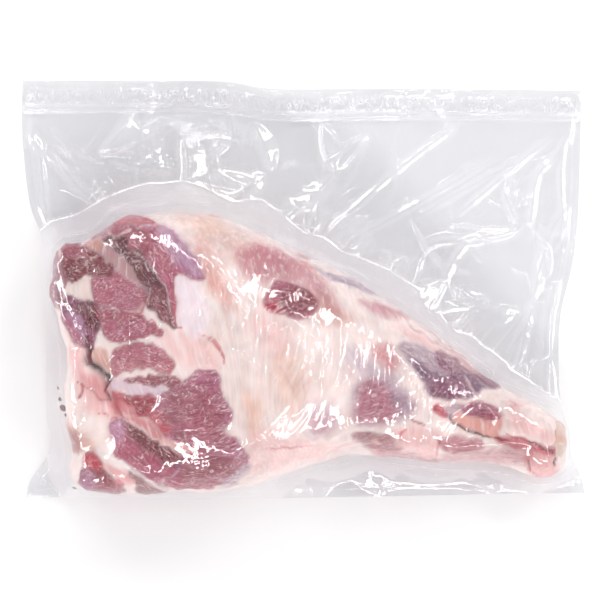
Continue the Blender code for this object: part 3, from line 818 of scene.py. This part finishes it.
# Sharp creases in the upper film: height, reach to the left and to the right of its course, course.
# A side with a reach of BLADE_REACH or more is a flat blade.
CREASES = [
    # beside the meat, in the wide flat part
    (2.2, 2.5, 3, [(-190, 122), (-188, 104), (-172, 88), (-156, 70), (-132, 52)]),
    (2.6, 2, 7, [(-196, 112), (-186, 96), (-182, 60), (-178, 30)]),
    (6.6, 2, 14, [(-143, 95), (-130, 110), (-118, 125)]),
    (1.6, 3, 2, [(-143, 95), (-124, 102), (-108, 110), (-92, 118)]),
    (1.4, 2, 2, [(-139, 94), (-126, 89), (-113, 88), (-104, 98), (-97, 107)]),
    (1.4, 2, 3, [(-113, 88), (-117, 73), (-101, 65), (-84, 61)]),
    (7.6, 3, 16, [(-82, 54), (-81, 84), (-83, 112)]),
    (1.8, 3, 2, [(-58, 52), (-61, 82), (-64, 108)]),
    (3.3, 2, 7, [(-66, 96), (-58, 104), (-53, 121)]),
    (2.2, 3, 4, [(-62, 85), (-48, 77), (-34, 73), (-32, 84)]),
    (4.4, 2, 9, [(-22, 83), (-27, 100), (-35, 118)]),
    (5.6, 2, 12, [(22, 83), (15, 100), (14, 118)]),
    (2.0, 3, 2, [(22, 83), (31, 92), (46, 110)]),
    (4.6, 3, 10, [(24, 84), (8, 66), (-8, 54), (-23, 40)]),
    (2.1, 2, 2.5, [(112, 118), (99, 109), (64, 82), (26, 48), (6, 26)]),
    (1.8, 2, 2.5, [(146, 99), (111, 78), (62, 50), (36, 36)]),
    (1.7, 2.5, 2, [(150, 92), (114, 71), (70, 46)]),
    (2.1, 2, 2.5, [(189, 118), (158, 94), (126, 67), (104, 49)]),
    (2.2, 2, 3, [(188, 117), (178, 94), (165, 80), (160, 50), (158, 45)]),
    (1.8, 2, 2, [(190, 118), (182, 92), (182, 60), (186, 30)]),
    (1.7, 2, 2, [(145, 78), (142, 67), (149, 50), (156, 45)]),
    (2.4, 3, 2, [(158, 45), (136, 38), (114, 32), (102, 13), (94, -3), (78, -16)]),
    (2.2, 2, 4, [(154, 42), (117, 35), (88, 30), (76, 5), (67, -17)]),
    (4.2, 9, 3, [(172, 32), (166, 14), (163, -6)]),
    (2.4, 3, 3, [(163, -6), (159, -18), (151, -52), (139, -69)]),
    (2.5, 3, 5, [(182, 10), (172, -20), (170, -58), (175, -88)]),
    (2.2, 3, 3, [(136, -26), (144, -19), (153, -17)]),
    (1.7, 2, 2, [(160, -20), (150, -34), (142, -52), (136, -66)]),
    (1.8, 3, 3, [(186, 60), (176, 44), (170, 30)]),
    (2.2, 3, 3, [(-178, 30), (-182, 0), (-178, -40), (-174, -80)]),
    (2.0, 3, 3, [(-188, 40), (-184, -10), (-180, -60), (-176, -110)]),
    (2.1, 4, 3, [(20, -122), (60, -126), (100, -134), (150, -139)]),
    (2.0, 3, 4, [(40, -138), (90, -132), (150, -130), (186, -132)]),
    (2.0, 3, 3, [(-196, -140), (-180, -124), (-168, -104)]),
    (2.0, 3, 3, [(196, -138), (188, -128), (182, -112)]),
    # over the meat
    (1.5, 2, 2, [(-176, 27), (-168, 8), (-158, -16), (-149, -41)]),
    (1.3, 2, 2, [(-172, 8), (-162, -12), (-150, -40)]),
    (1.3, 2, 2, [(-160, -6), (-152, -22), (-147, -41)]),
    (1.1, 2, 2, [(-178, 4), (-170, -14), (-154, -40)]),
    (1.8, 2, 3, [(-74, 30), (-60, 13), (-44, -14)]),
    (1.4, 2, 2, [(-68, 30), (-56, 18), (-42, -6)]),
    (2.1, 3, 3, [(-19, -14), (-6, -22), (2, -29), (13, -38)]),
    (1.7, 2, 2, [(26, -18), (25, -34), (24, -48)]),
    (1.7, 2, 2, [(-64, 48), (-44, 41), (-26, 32), (4, 23)]),
    (1.7, 2, 3, [(100, -60), (112, -58), (118, -55), (126, -48), (136, -42)]),
    (1.7, 2, 2, [(96, -90), (110, -83), (120, -76), (131, -71), (142, -70)]),
    (2.0, 3, 2, [(132, -82), (131, -92), (128, -100)]),
    (1.3, 2, 2, [(98, -112), (120, -108), (150, -107), (164, -110)]),
    (1.3, 2, 2, [(106, -116), (128, -110), (158, -112)]),
    (1.4, 2, 2, [(74, -38), (80, -50), (84, -58)]),
    (1.3, 2, 2, [(-52, -36), (-40, -46), (-28, -56), (-10, -68)]),
    (1.4, 2, 2, [(-88, 12), (-78, 0), (-70, -16), (-68, -34)]),
    (1.3, 2, 2, [(-145, -112), (-128, -120), (-108, -130), (-94, -139)]),
    (1.1, 2, 2, [(-134, -62), (-118, -66), (-100, -64)]),
]
# Rings of facet corners round the leg: distance from its outline, spacing along the ring.
DRAPE_RINGS = [(0, 6), (4, 8), (8, 11), (15, 16)]
LEG_GIRTH = 890  # the length of that outline
DRAPE_CELL = 25.0  # spacing of the facets' corners where the bag lies flat
DRAPE_RISE = 2.0  # how far those corners rise and fall
DRAPE_SEED = 61
STREAKY_BAND = [(-70, 20), (-40, -22), (0, -38), (40, -58), (80, -74)]  # where upright wrinkles crowd
STREAKY_REACH = 24.0
SEAL_LINE = 0.5  # height of the line along the inside of each side seal
LOOSE_CREASE_SEED = 30  # added to the film's own seed
LOOSE_CREASES = 60  # further, lower creases where the two films lie flat


def film_plan():
    """Points over the bag, spread between its four edges, as a (columns, rows, 2) array."""
    columns = round((TOP_EDGE[-1][0] - TOP_EDGE[0][0]) / FILM_CELL) + 1
    rows = round((LEFT_EDGE[-1][1] - LEFT_EDGE[0][1]) / FILM_CELL) + 1
    top, bottom = evenly(through(TOP_EDGE, 20), columns), evenly(through(BOTTOM_EDGE, 20), columns)
    left, right = evenly(through(LEFT_EDGE, 20), rows), evenly(through(RIGHT_EDGE, 20), rows)
    u = np.linspace(0, 1, columns)[:, None, None]
    v = np.linspace(0, 1, rows)[None, :, None]
    between_sides = (1 - u) * left[None] + u * right[None]
    between_ends = (1 - v) * bottom[:, None] + v * top[:, None]
    corners = ((1 - u) * (1 - v) * left[0] + u * (1 - v) * right[0]
               + (1 - u) * v * left[-1] + u * v * right[-1])
    return between_sides + between_ends - corners


def film_level(x, y, outside):
    """The height at which the two films lie together, beside the meat and out to the seals."""
    sunk = np.exp(-((np.maximum(outside, 0) / FILM_SINKS_OVER) ** 1.6))
    folds = (np.sin(x / 17 + y / 31) + np.sin(y / 13 - x / 41 + 1.3) + np.sin(x / 29 + 2.1)) / 3
    spread = np.clip(outside / 30, 0, 1)
    return (LOWEST_FILM + (profile(WIDEST_LEVEL, x) - LOWEST_FILM) * sunk
            + WAVE_HEIGHT * spread * (1 + folds) / 2)


def meat_height(trees, plan, side):
    """How far up (side 1) or down (-1) the meat and bone reach at each point, and NaN beside them."""
    start = 0.3 * side
    heights = np.full((len(trees), len(plan)), np.nan)
    for row, tree in enumerate(trees):
        for k, (x, y) in enumerate(plan * MM):
            hit = tree.ray_cast((x, y, start), (0, 0, -side))[0]
            if hit:
                heights[row, k] = side * hit.z / MM
    return np.fmax.reduce(heights)


def widened(heights):
    """Each point takes the greatest height among itself and its four neighbours; NaN where none has one."""
    wide = heights.copy()
    wide[1:] = np.fmax(wide[1:], heights[:-1])
    wide[:-1] = np.fmax(wide[:-1], heights[1:])
    wide[:, 1:] = np.fmax(wide[:, 1:], heights[:, :-1])
    wide[:, :-1] = np.fmax(wide[:, :-1], heights[:, 1:])
    return wide


def around(z):
    """The mean of each point's four neighbours; the border keeps its own height."""
    mean = z.copy()
    mean[1:-1, 1:-1] = (z[:-2, 1:-1] + z[2:, 1:-1] + z[1:-1, :-2] + z[1:-1, 2:]) / 4
    return mean


def crease(plan, height, left, right, course):
    """A crest along a course: it falls off at its own rate to each side, and a wide side is a flat blade."""
    curve = through(course, 4)
    near = ((plan > curve.min(0) - 30) & (plan < curve.max(0) + 30)).all(1)
    distance, along, foot = to_segments(plan[near], curve[:-1], curve[1:])
    nearest = np.minimum(along.astype(int), len(curve) - 2)
    step = curve[nearest + 1] - curve[nearest]
    offset = plan[near] - foot
    to_left = step[:, 0] * offset[:, 1] - step[:, 1] * offset[:, 0] > 0
    reach = np.where(to_left, left, right)
    taper = np.sin(math.pi * np.clip(along / (len(curve) - 1), 0, 1)) ** 0.6
    narrow = height * taper * np.exp(-((distance / (CREST_WIDENING * reach)) ** 1.5))
    blade = np.maximum(height * taper - BLADE_SLOPE * distance, 0)
    rise = np.zeros(len(plan))
    rise[near] = np.where(reach < BLADE_REACH, narrow, blade)
    return rise


def loose_creases(plan, seed):
    """Long, low, nearly straight creases strewn over the flat part of the bag."""
    rng = np.random.default_rng(seed)
    total = np.zeros(len(plan))
    for _ in range(LOOSE_CREASES):
        start = np.array([rng.uniform(-185, 185), rng.uniform(-20, 135)])
        angle = rng.uniform(0, math.pi)
        way = np.array([math.cos(angle), math.sin(angle)])
        bend = np.array([-way[1], way[0]]) * rng.uniform(-7, 7)
        length = rng.uniform(18, 60)
        course = [start, start + way * length / 2 + bend, start + way * length]
        total += crease(plan, rng.uniform(0.5, 1.4), rng.uniform(1.2, 4), rng.uniform(1.2, 4), course)
    return total


def ridges(points, reach, seed, stretch):
    """Narrow crests and wide valleys, from 0 to about 1."""
    return np.maximum(1 - abs(waves(points, reach, seed, stretch, 10)) * 1.6, 0) ** 1.5


def wrinkles(points, on_meat, seed):
    """Small wrinkles: upright ones where the film clings, and a fine crumple all over."""
    upright = ridges(points, 3.2, seed, (1, 7, 1)) * smooth_step(waves(points, 24, seed + 1), -0.4, 0.9)
    turned = points @ np.array([[0.8, 0.6, 0], [-0.6, 0.8, 0], [0, 0, 1.0]])
    slanting = ridges(turned, 3.6, seed + 2, (1, 8, 1))
    slanting *= smooth_step(waves(points, 22, seed + 3), 0.1, 1.1)
    course = through(STREAKY_BAND, 6)
    away = to_segments(points[:, :2], course[:-1], course[1:])[0]
    streaks = ridges(points, 3.1, seed + 6, (1, 8, 1)) * np.exp(-((away / STREAKY_REACH) ** 2))
    crumple = waves(points, 13, seed + 4) * 0.08 + ridges(points, 12, seed + 5, (1, 1, 1)) * 0.12
    return on_meat * (0.6 * upright + 0.6 * slanting + 1.15 * streaks) + crumple * (1 - 0.5 * on_meat)


def beside_rings(outline, rng):
    """Points on rings round the leg, closer together along a ring than from ring to ring."""
    rings = []
    for reach, spacing in DRAPE_RINGS:
        along = evenly(outline, round(LEG_GIRTH / spacing))
        run = np.gradient(along, axis=0)
        out = np.column_stack([-run[:, 1], run[:, 0]]) / np.linalg.norm(run, axis=1)[:, None]
        shaken = along + rng.uniform(-0.3, 0.3, along.shape) * spacing
        rings.append(shaken + out * (reach + rng.uniform(-0.2, 0.2, (len(along), 1)) * reach))
    return np.vstack(rings)


def drape_corners(outline, rng):
    """Where the facets' corners are: on rings round the leg, and strewn evenly beyond them."""
    xs = np.arange(BOTTOM_EDGE[0][0] - DRAPE_CELL, BOTTOM_EDGE[-1][0] + 2 * DRAPE_CELL, DRAPE_CELL)
    ys = np.arange(LEFT_EDGE[0][1] - DRAPE_CELL, LEFT_EDGE[-1][1] + 2 * DRAPE_CELL, DRAPE_CELL)
    strewn = np.stack(np.meshgrid(xs, ys, indexing="ij"), axis=2).reshape(-1, 2)
    strewn = strewn + rng.uniform(-0.42, 0.42, strewn.shape) * DRAPE_CELL
    rings = beside_rings(outline, rng)
    corners = np.vstack([rings, strewn])
    inside = inside_distance(corners, outline)[0]
    on_ring = np.arange(len(corners)) < len(rings)
    kept = on_ring | (inside < -DRAPE_RINGS[-1][0] - 12)
    return corners[kept], inside[kept]


def draped(plan, outline):
    """The height of the film beside the leg: flat facets that meet in creases and fan out from the leg."""
    rng = np.random.default_rng(DRAPE_SEED)
    corners, inside = drape_corners(outline, rng)
    rise = DRAPE_RISE * rng.uniform(-1, 1, len(corners)) * smooth_step(-inside, -20, 30)
    height = film_level(corners[:, 0], corners[:, 1], -inside) + rise
    _, _, faces, sources, *_ = delaunay_2d_cdt([Vector(corner) for corner in corners], [], [], 0, 1e-4)
    placed = [(*corners[source[0]], height[source[0]]) for source in sources]
    facets = BVHTree.FromPolygons(placed, faces)
    hits = [facets.ray_cast((x, y, 300), (0, 0, -1))[0] for x, y in plan]
    return np.array([hit.z if hit else LOWEST_FILM for hit in hits])


def plan_at(plan, z=0.0):
    return np.column_stack([plan, np.full(len(plan), z)])


def gathers(foot, outside, seed):
    """Wrinkles that run straight out from the meat, where the film sinks from it."""
    across = plan_at(foot)
    reach = outside / (18 + 10 * waves(across, 20, seed + 9))
    return (0.7 * ridges(across, 4.5, seed + 10, (1, 1, 1)) + 0.35 * waves(across, 3, seed + 11)) * (
        smooth_step(outside, -2, 5) * np.exp(-(reach**2)))


def header_relief(points, from_top, seed):
    """How far the header seal is pressed, from 0 to 1: a band of small cushions, with two lines below it."""
    start, end = HEADER
    band = smooth_step(from_top, start - 1, start + 2) * (1 - smooth_step(from_top, end - 3, end))
    worn = 0.35 + 0.65 * smooth_step(waves(points, 26, seed), -0.6, 0.8)
    cushions = ridges(points, 3.0, seed + 1, (0.8, 1.3, 1)) * band * worn
    lines = sum(np.exp(-(((from_top - at) / 1.3) ** 2)) for at in HEADER_LINES)
    return np.clip(cushions + lines * worn, 0, 1)


def held_film(trees, grid, level, inside, side):
    """The height of a taut film, up from the middle, that the meat and the facets beside it hold."""
    columns, rows = grid.shape[:2]
    meat = meat_height(trees, grid.reshape(-1, 2), side).reshape(columns, rows) + FILM_ON_MEAT
    for _ in range(CLEARANCE_CELLS):
        meat = widened(meat)
    held = np.fmax(meat, (side * level + FILM_APART).reshape(columns, rows))
    z = held
    for _ in range(TAUT_PASSES):
        z = np.maximum(held, around(z))
    z = held + (z - held) * smooth_step(inside, -7, 0).reshape(columns, rows)
    return around(around(z)).ravel()


def film_relief(plan, foot, inside, side, seed):
    """All the creases and wrinkles of one film. The large ones are only in the upper film."""
    flat = plan_at(plan)
    on_meat = smooth_step(inside, -6, 4)
    relief = wrinkles(flat, on_meat, seed) + gathers(foot, -inside, seed)
    relief += loose_creases(plan, seed + LOOSE_CREASE_SEED) * (1 - on_meat)
    if side > 0:
        relief += sum(crease(plan, *entry) for entry in CREASES)
    return relief


def build_film(name, trees, material):
    """One of the two films: the upper one, or the one that the pack lies on."""
    side, seed = FILMS[name]
    grid = film_plan()
    columns, rows = grid.shape[:2]
    plan = grid.reshape(-1, 2)
    outline = leg_outline()
    inside, foot = inside_distance(plan, outline)
    level = draped(plan, outline)
    i, j = (k.ravel() for k in np.meshgrid(np.arange(columns), np.arange(rows), indexing="ij"))
    from_top = (rows - 1 - j) * FILM_CELL
    to_border = np.minimum(np.minimum(i, columns - 1 - i), np.minimum(j, rows - 1 - j)) * FILM_CELL
    free = np.maximum(smooth_step(to_border, 0, SIDE_SEAL), smooth_step(inside, -2.5, -0.5))
    lifted = held_film(trees, grid, level, inside, side) + film_relief(plan, foot, inside, side, seed)
    pressed = header_relief(plan_at(plan), from_top, HEADER_SEED) * smooth_step(to_border, 0, 3)
    seal = SEAL_LINE * np.exp(-(((to_border - SIDE_SEAL) / 0.9) ** 2))
    z = level * (1 - free) + side * (lifted * free + EMBOSSING * pressed + seal)
    z = np.maximum(z, LOWEST_POINTS[side])
    index = np.arange(len(plan)).reshape(columns, rows)
    quads = np.stack([index[:-1, :-1], index[1:, :-1], index[1:, 1:], index[:-1, 1:]], axis=2).reshape(-1, 4)
    if side < 0:
        quads = quads[:, ::-1]
    film = mesh_object(name, np.column_stack([plan, z]), quads.tolist(), material)
    add_attribute(film, "frost", "FLOAT", pressed)
    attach(film, "root")
    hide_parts("sealed_bag")


def film_material():
    """Clear film: it lets most light through, and mirrors the lights along its creases."""
    m = Material("clear_film")
    place = m.millimetres()
    crinkle = m.noise(m.scaled(place, (1, 0.25, 1)), 0.5, 4.0, 0.6, 0.4)
    fine = m.noise(place, 0.9, 3.0, 0.6)
    bump = m.bump(fine, 0.012, before=m.bump(crinkle, 0.10))
    mirror = m.node("ShaderNodeBsdfGlossy", Color=(1, 1, 1, 1), Roughness=0.015, Normal=bump)
    clear = m.node("ShaderNodeBsdfTransparent", Color=(0.976, 0.976, 0.983, 1))
    haze = m.node("ShaderNodeBsdfDiffuse", Color=(0.95, 0.94, 0.97, 1))
    facing = m.node("ShaderNodeLayerWeight", Blend=0.5, Normal=bump).outputs["Facing"]
    shine = m.math("MULTIPLY_ADD", m.math("POWER", facing, 5.0), 1 - FILM_MIRRORS)
    shine.node.inputs[2].default_value = FILM_MIRRORS
    frost = m.math("MULTIPLY_ADD", m.attribute("frost", "Fac"), FILM_FROST)
    frost.node.inputs[2].default_value = FILM_HAZE
    body = m.node("ShaderNodeMixShader", Fac=frost)
    m.feed(body.inputs[1], clear.outputs[0])
    m.feed(body.inputs[2], haze.outputs[0])
    whole = m.node("ShaderNodeMixShader", Fac=shine)
    m.feed(whole.inputs[1], body.outputs[0])
    m.feed(whole.inputs[2], mirror.outputs[0])
    m.feed(m.end.inputs["Surface"], whole.outputs[0])
    m.tree.nodes.remove(m.shader)
    return m.made


# ---------------------------------------------------------------- the bone's end and the drops of blood

BONE_END = (176.2, -108.0, 21.5)
BONE_END_RADII = (8.3, 16.2, 15.6)
BONE_END_TURN = -8.0
# Each drop between the films: X, Y, length, width, turn in degrees.
BLOOD_DROPS = [
    (-170.6, -76.8, 1.6, 1.1, -50), (-168.2, -83.0, 2.6, 1.9, -45), (-165.8, -88.2, 1.8, 1.0, -40),
    (-164.0, -91.0, 1.3, 0.7, -35), (-172.0, -69.0, 1.2, 0.6, -70), (-160.5, -139.0, 1.6, 0.7, -20),
]
DROP_HEIGHT = 0.42
BALL_ROWS, BALL_COLUMNS = 28, 48


def ball(name, centre, radii, turn, lumps, material):
    """A closed, slightly lumpy ellipsoid, turned about Z."""
    polar = np.linspace(0, math.pi, BALL_ROWS + 1)[1:-1, None]
    around_axis = np.linspace(0, 2 * math.pi, BALL_COLUMNS, endpoint=False)[None]
    unit = np.stack([np.sin(polar) * np.cos(around_axis), np.sin(polar) * np.sin(around_axis),
                     np.cos(polar) * np.ones_like(around_axis)], axis=2).reshape(-1, 3)
    unit = np.vstack([unit, [(0, 0, 1), (0, 0, -1)]])
    points = unit * radii * (1 + lumps * waves(unit, 0.5, 81))[:, None]
    cos, sin = math.cos(math.radians(turn)), math.sin(math.radians(turn))
    points = points @ np.array([[cos, sin, 0], [-sin, cos, 0], [0, 0, 1]]) + centre
    index = np.arange((BALL_ROWS - 1) * BALL_COLUMNS).reshape(BALL_ROWS - 1, BALL_COLUMNS)
    ahead = np.roll(index, -1, axis=1)
    faces = np.stack([index[:-1], index[1:], ahead[1:], ahead[:-1]], axis=2).reshape(-1, 4).tolist()
    top, bottom = len(points) - 2, len(points) - 1
    faces += [(top, a, b) for a, b in zip(index[0].tolist(), ahead[0].tolist())]
    faces += [(bottom, b, a) for a, b in zip(index[-1].tolist(), ahead[-1].tolist())]
    made = mesh_object(name, points, faces, material)
    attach(made, "root")
    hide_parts("sealed_bag")
    return made


def bone_material():
    """Pale bone and cartilage: ivory, amber where it is thin, with red pores."""
    m = Material("bone_end")
    place = m.millimetres()
    cloudy = m.noise(place, 0.12, 3.0, 0.6)
    pores = m.ramp(m.noise(place, 1.4, 3.0, 0.6), 0.58, 0.70)
    tone = m.mix(m.ramp(cloudy, 0.4, 0.65), (0.76, 0.60, 0.52), (0.76, 0.46, 0.38))
    m.set(Base_Color=m.mix(m.math("MULTIPLY", pores, 0.5), tone, (0.52, 0.14, 0.14)))
    m.set(Roughness=m.ramp(cloudy, 0.3, 0.7, 0.35, 0.5), Normal=m.bump(pores, 0.2), IOR=1.35)
    return m.made


def blood_material():
    """Dark liquid, nearly black where it is deep and red at its thin edges."""
    m = Material("blood")
    deep = m.noise(m.millimetres(), 0.9, 2.0)
    m.set(Base_Color=m.mix(m.ramp(deep, 0.35, 0.65), (0.20, 0.012, 0.022), (0.09, 0.006, 0.012)))
    m.set(Roughness=m.ramp(deep, 0.3, 0.7, 0.12, 0.25))
    return m.made


def build_bone_end():
    bone = ball("bone_end", BONE_END, BONE_END_RADII, BONE_END_TURN, 0.012, bone_material())
    return bone


def build_blood_drops():
    material = blood_material()
    levels = draped(np.array([drop[:2] for drop in BLOOD_DROPS]), leg_outline())
    for number, ((x, y, length, width, turn), level) in enumerate(zip(BLOOD_DROPS, levels)):
        radii = (length, width, DROP_HEIGHT)
        drop = ball(f"blood_drop_{number}", (x, y, level), radii, turn, 0.05, material)


# ---------------------------------------------------------------- camera, lights and floor

VIEW_CENTRE = (-2.45, -7.35)
VIEW_WIDTH = 420.0
VIEW_LEVEL = 32.0  # height of the meat's outline, where the width is measured
CAMERA_HEIGHT = 5200.0
SENSOR = 36.0
LIGHT_DISTANCE = 2.2  # metres
# Each softbox: turn, tilt, length and width in metres.
SOFTBOXES = [
    (90, 50, 1.0, 0.13), (45, 50, 0.8, 0.12), (125, 53, 0.8, 0.12), (0, 50, 0.8, 0.12), (180, 78, 1.2, 0.12),
    (-90, 56, 0.85, 0.13), (-48, 52, 0.8, 0.12), (-116, 52, 0.9, 0.12),
    (80, 21, 0.9, 0.012), (220, 18, 0.7, 0.012),
]
RADIANCE = 26.0
# The sky's strength goes from the first value to the second as the cosine of its tilt goes through these.
SKY_STRENGTH = (0.50, 0.04)
SKY_COSINES = (0.80, 0.97)
FLOOR_REACH = 3000.0


def add_camera():
    data = bpy.data.cameras.new("camera")
    data.sensor_width = SENSOR
    data.lens = SENSOR * (CAMERA_HEIGHT - VIEW_LEVEL) / VIEW_WIDTH
    camera = bpy.data.objects.new("camera", data)
    camera.location = (VIEW_CENTRE[0] * MM, VIEW_CENTRE[1] * MM, CAMERA_HEIGHT * MM)
    bpy.context.scene.collection.objects.link(camera)
    bpy.context.scene.camera = camera


def add_softbox(name, turn, tilt, size, radiance):
    """A soft rectangular light, turned about the pack from +X and tilted from straight above, in degrees."""
    turn, tilt = math.radians(turn), math.radians(tilt)
    way = Vector((math.sin(tilt) * math.cos(turn), math.sin(tilt) * math.sin(turn), math.cos(tilt)))
    data = bpy.data.lights.new(name, "AREA")
    data.shape = "RECTANGLE"
    data.size, data.size_y = size
    data.energy = radiance * math.pi * size[0] * size[1]
    light = bpy.data.objects.new(name, data)
    light.location = way * LIGHT_DISTANCE
    light.rotation_mode = "QUATERNION"
    light.rotation_quaternion = way.to_track_quat("Z", "Y")
    bpy.context.scene.collection.objects.link(light)


def add_lights():
    """A ring of softboxes under a sky that is dark straight above, so that flat film mirrors little."""
    for number, (turn, tilt, length, width) in enumerate(SOFTBOXES):
        add_softbox(f"softbox_{number}", turn, tilt, (length, width), RADIANCE)
    world = bpy.data.worlds.new("studio")
    world.use_nodes = True
    tree = world.node_tree
    place = tree.nodes.new("ShaderNodeTexCoord")
    split = tree.nodes.new("ShaderNodeSeparateXYZ")
    ramp = tree.nodes.new("ShaderNodeMapRange")
    for key, value in zip(("From Min", "From Max", "To Min", "To Max"), (*SKY_COSINES, *SKY_STRENGTH)):
        ramp.inputs[key].default_value = value
    tree.links.new(place.outputs["Generated"], split.inputs[0])
    tree.links.new(split.outputs["Z"], ramp.inputs["Value"])
    background = tree.nodes["Background"]
    background.inputs["Color"].default_value = (0.97, 0.975, 1.0, 1)
    tree.links.new(ramp.outputs["Result"], background.inputs["Strength"])
    bpy.context.scene.world = world


def add_floor():
    corners = [(-FLOOR_REACH, -FLOOR_REACH, 0), (FLOOR_REACH, -FLOOR_REACH, 0),
               (FLOOR_REACH, FLOOR_REACH, 0), (-FLOOR_REACH, FLOOR_REACH, 0)]
    mesh_object("floor", corners, [(0, 1, 2, 3)], floor_material())


bpy.context.scene.view_settings.view_transform = "Standard"
add_camera()
add_lights()
add_floor()
solids = [build_leg(meat_material()), build_bone_end()]
build_blood_drops()
graph = bpy.context.evaluated_depsgraph_get()
trees = [BVHTree.FromObject(solid, graph) for solid in solids]
clear_film = film_material()
for film_name in FILMS:
    build_film(film_name, trees, clear_film)
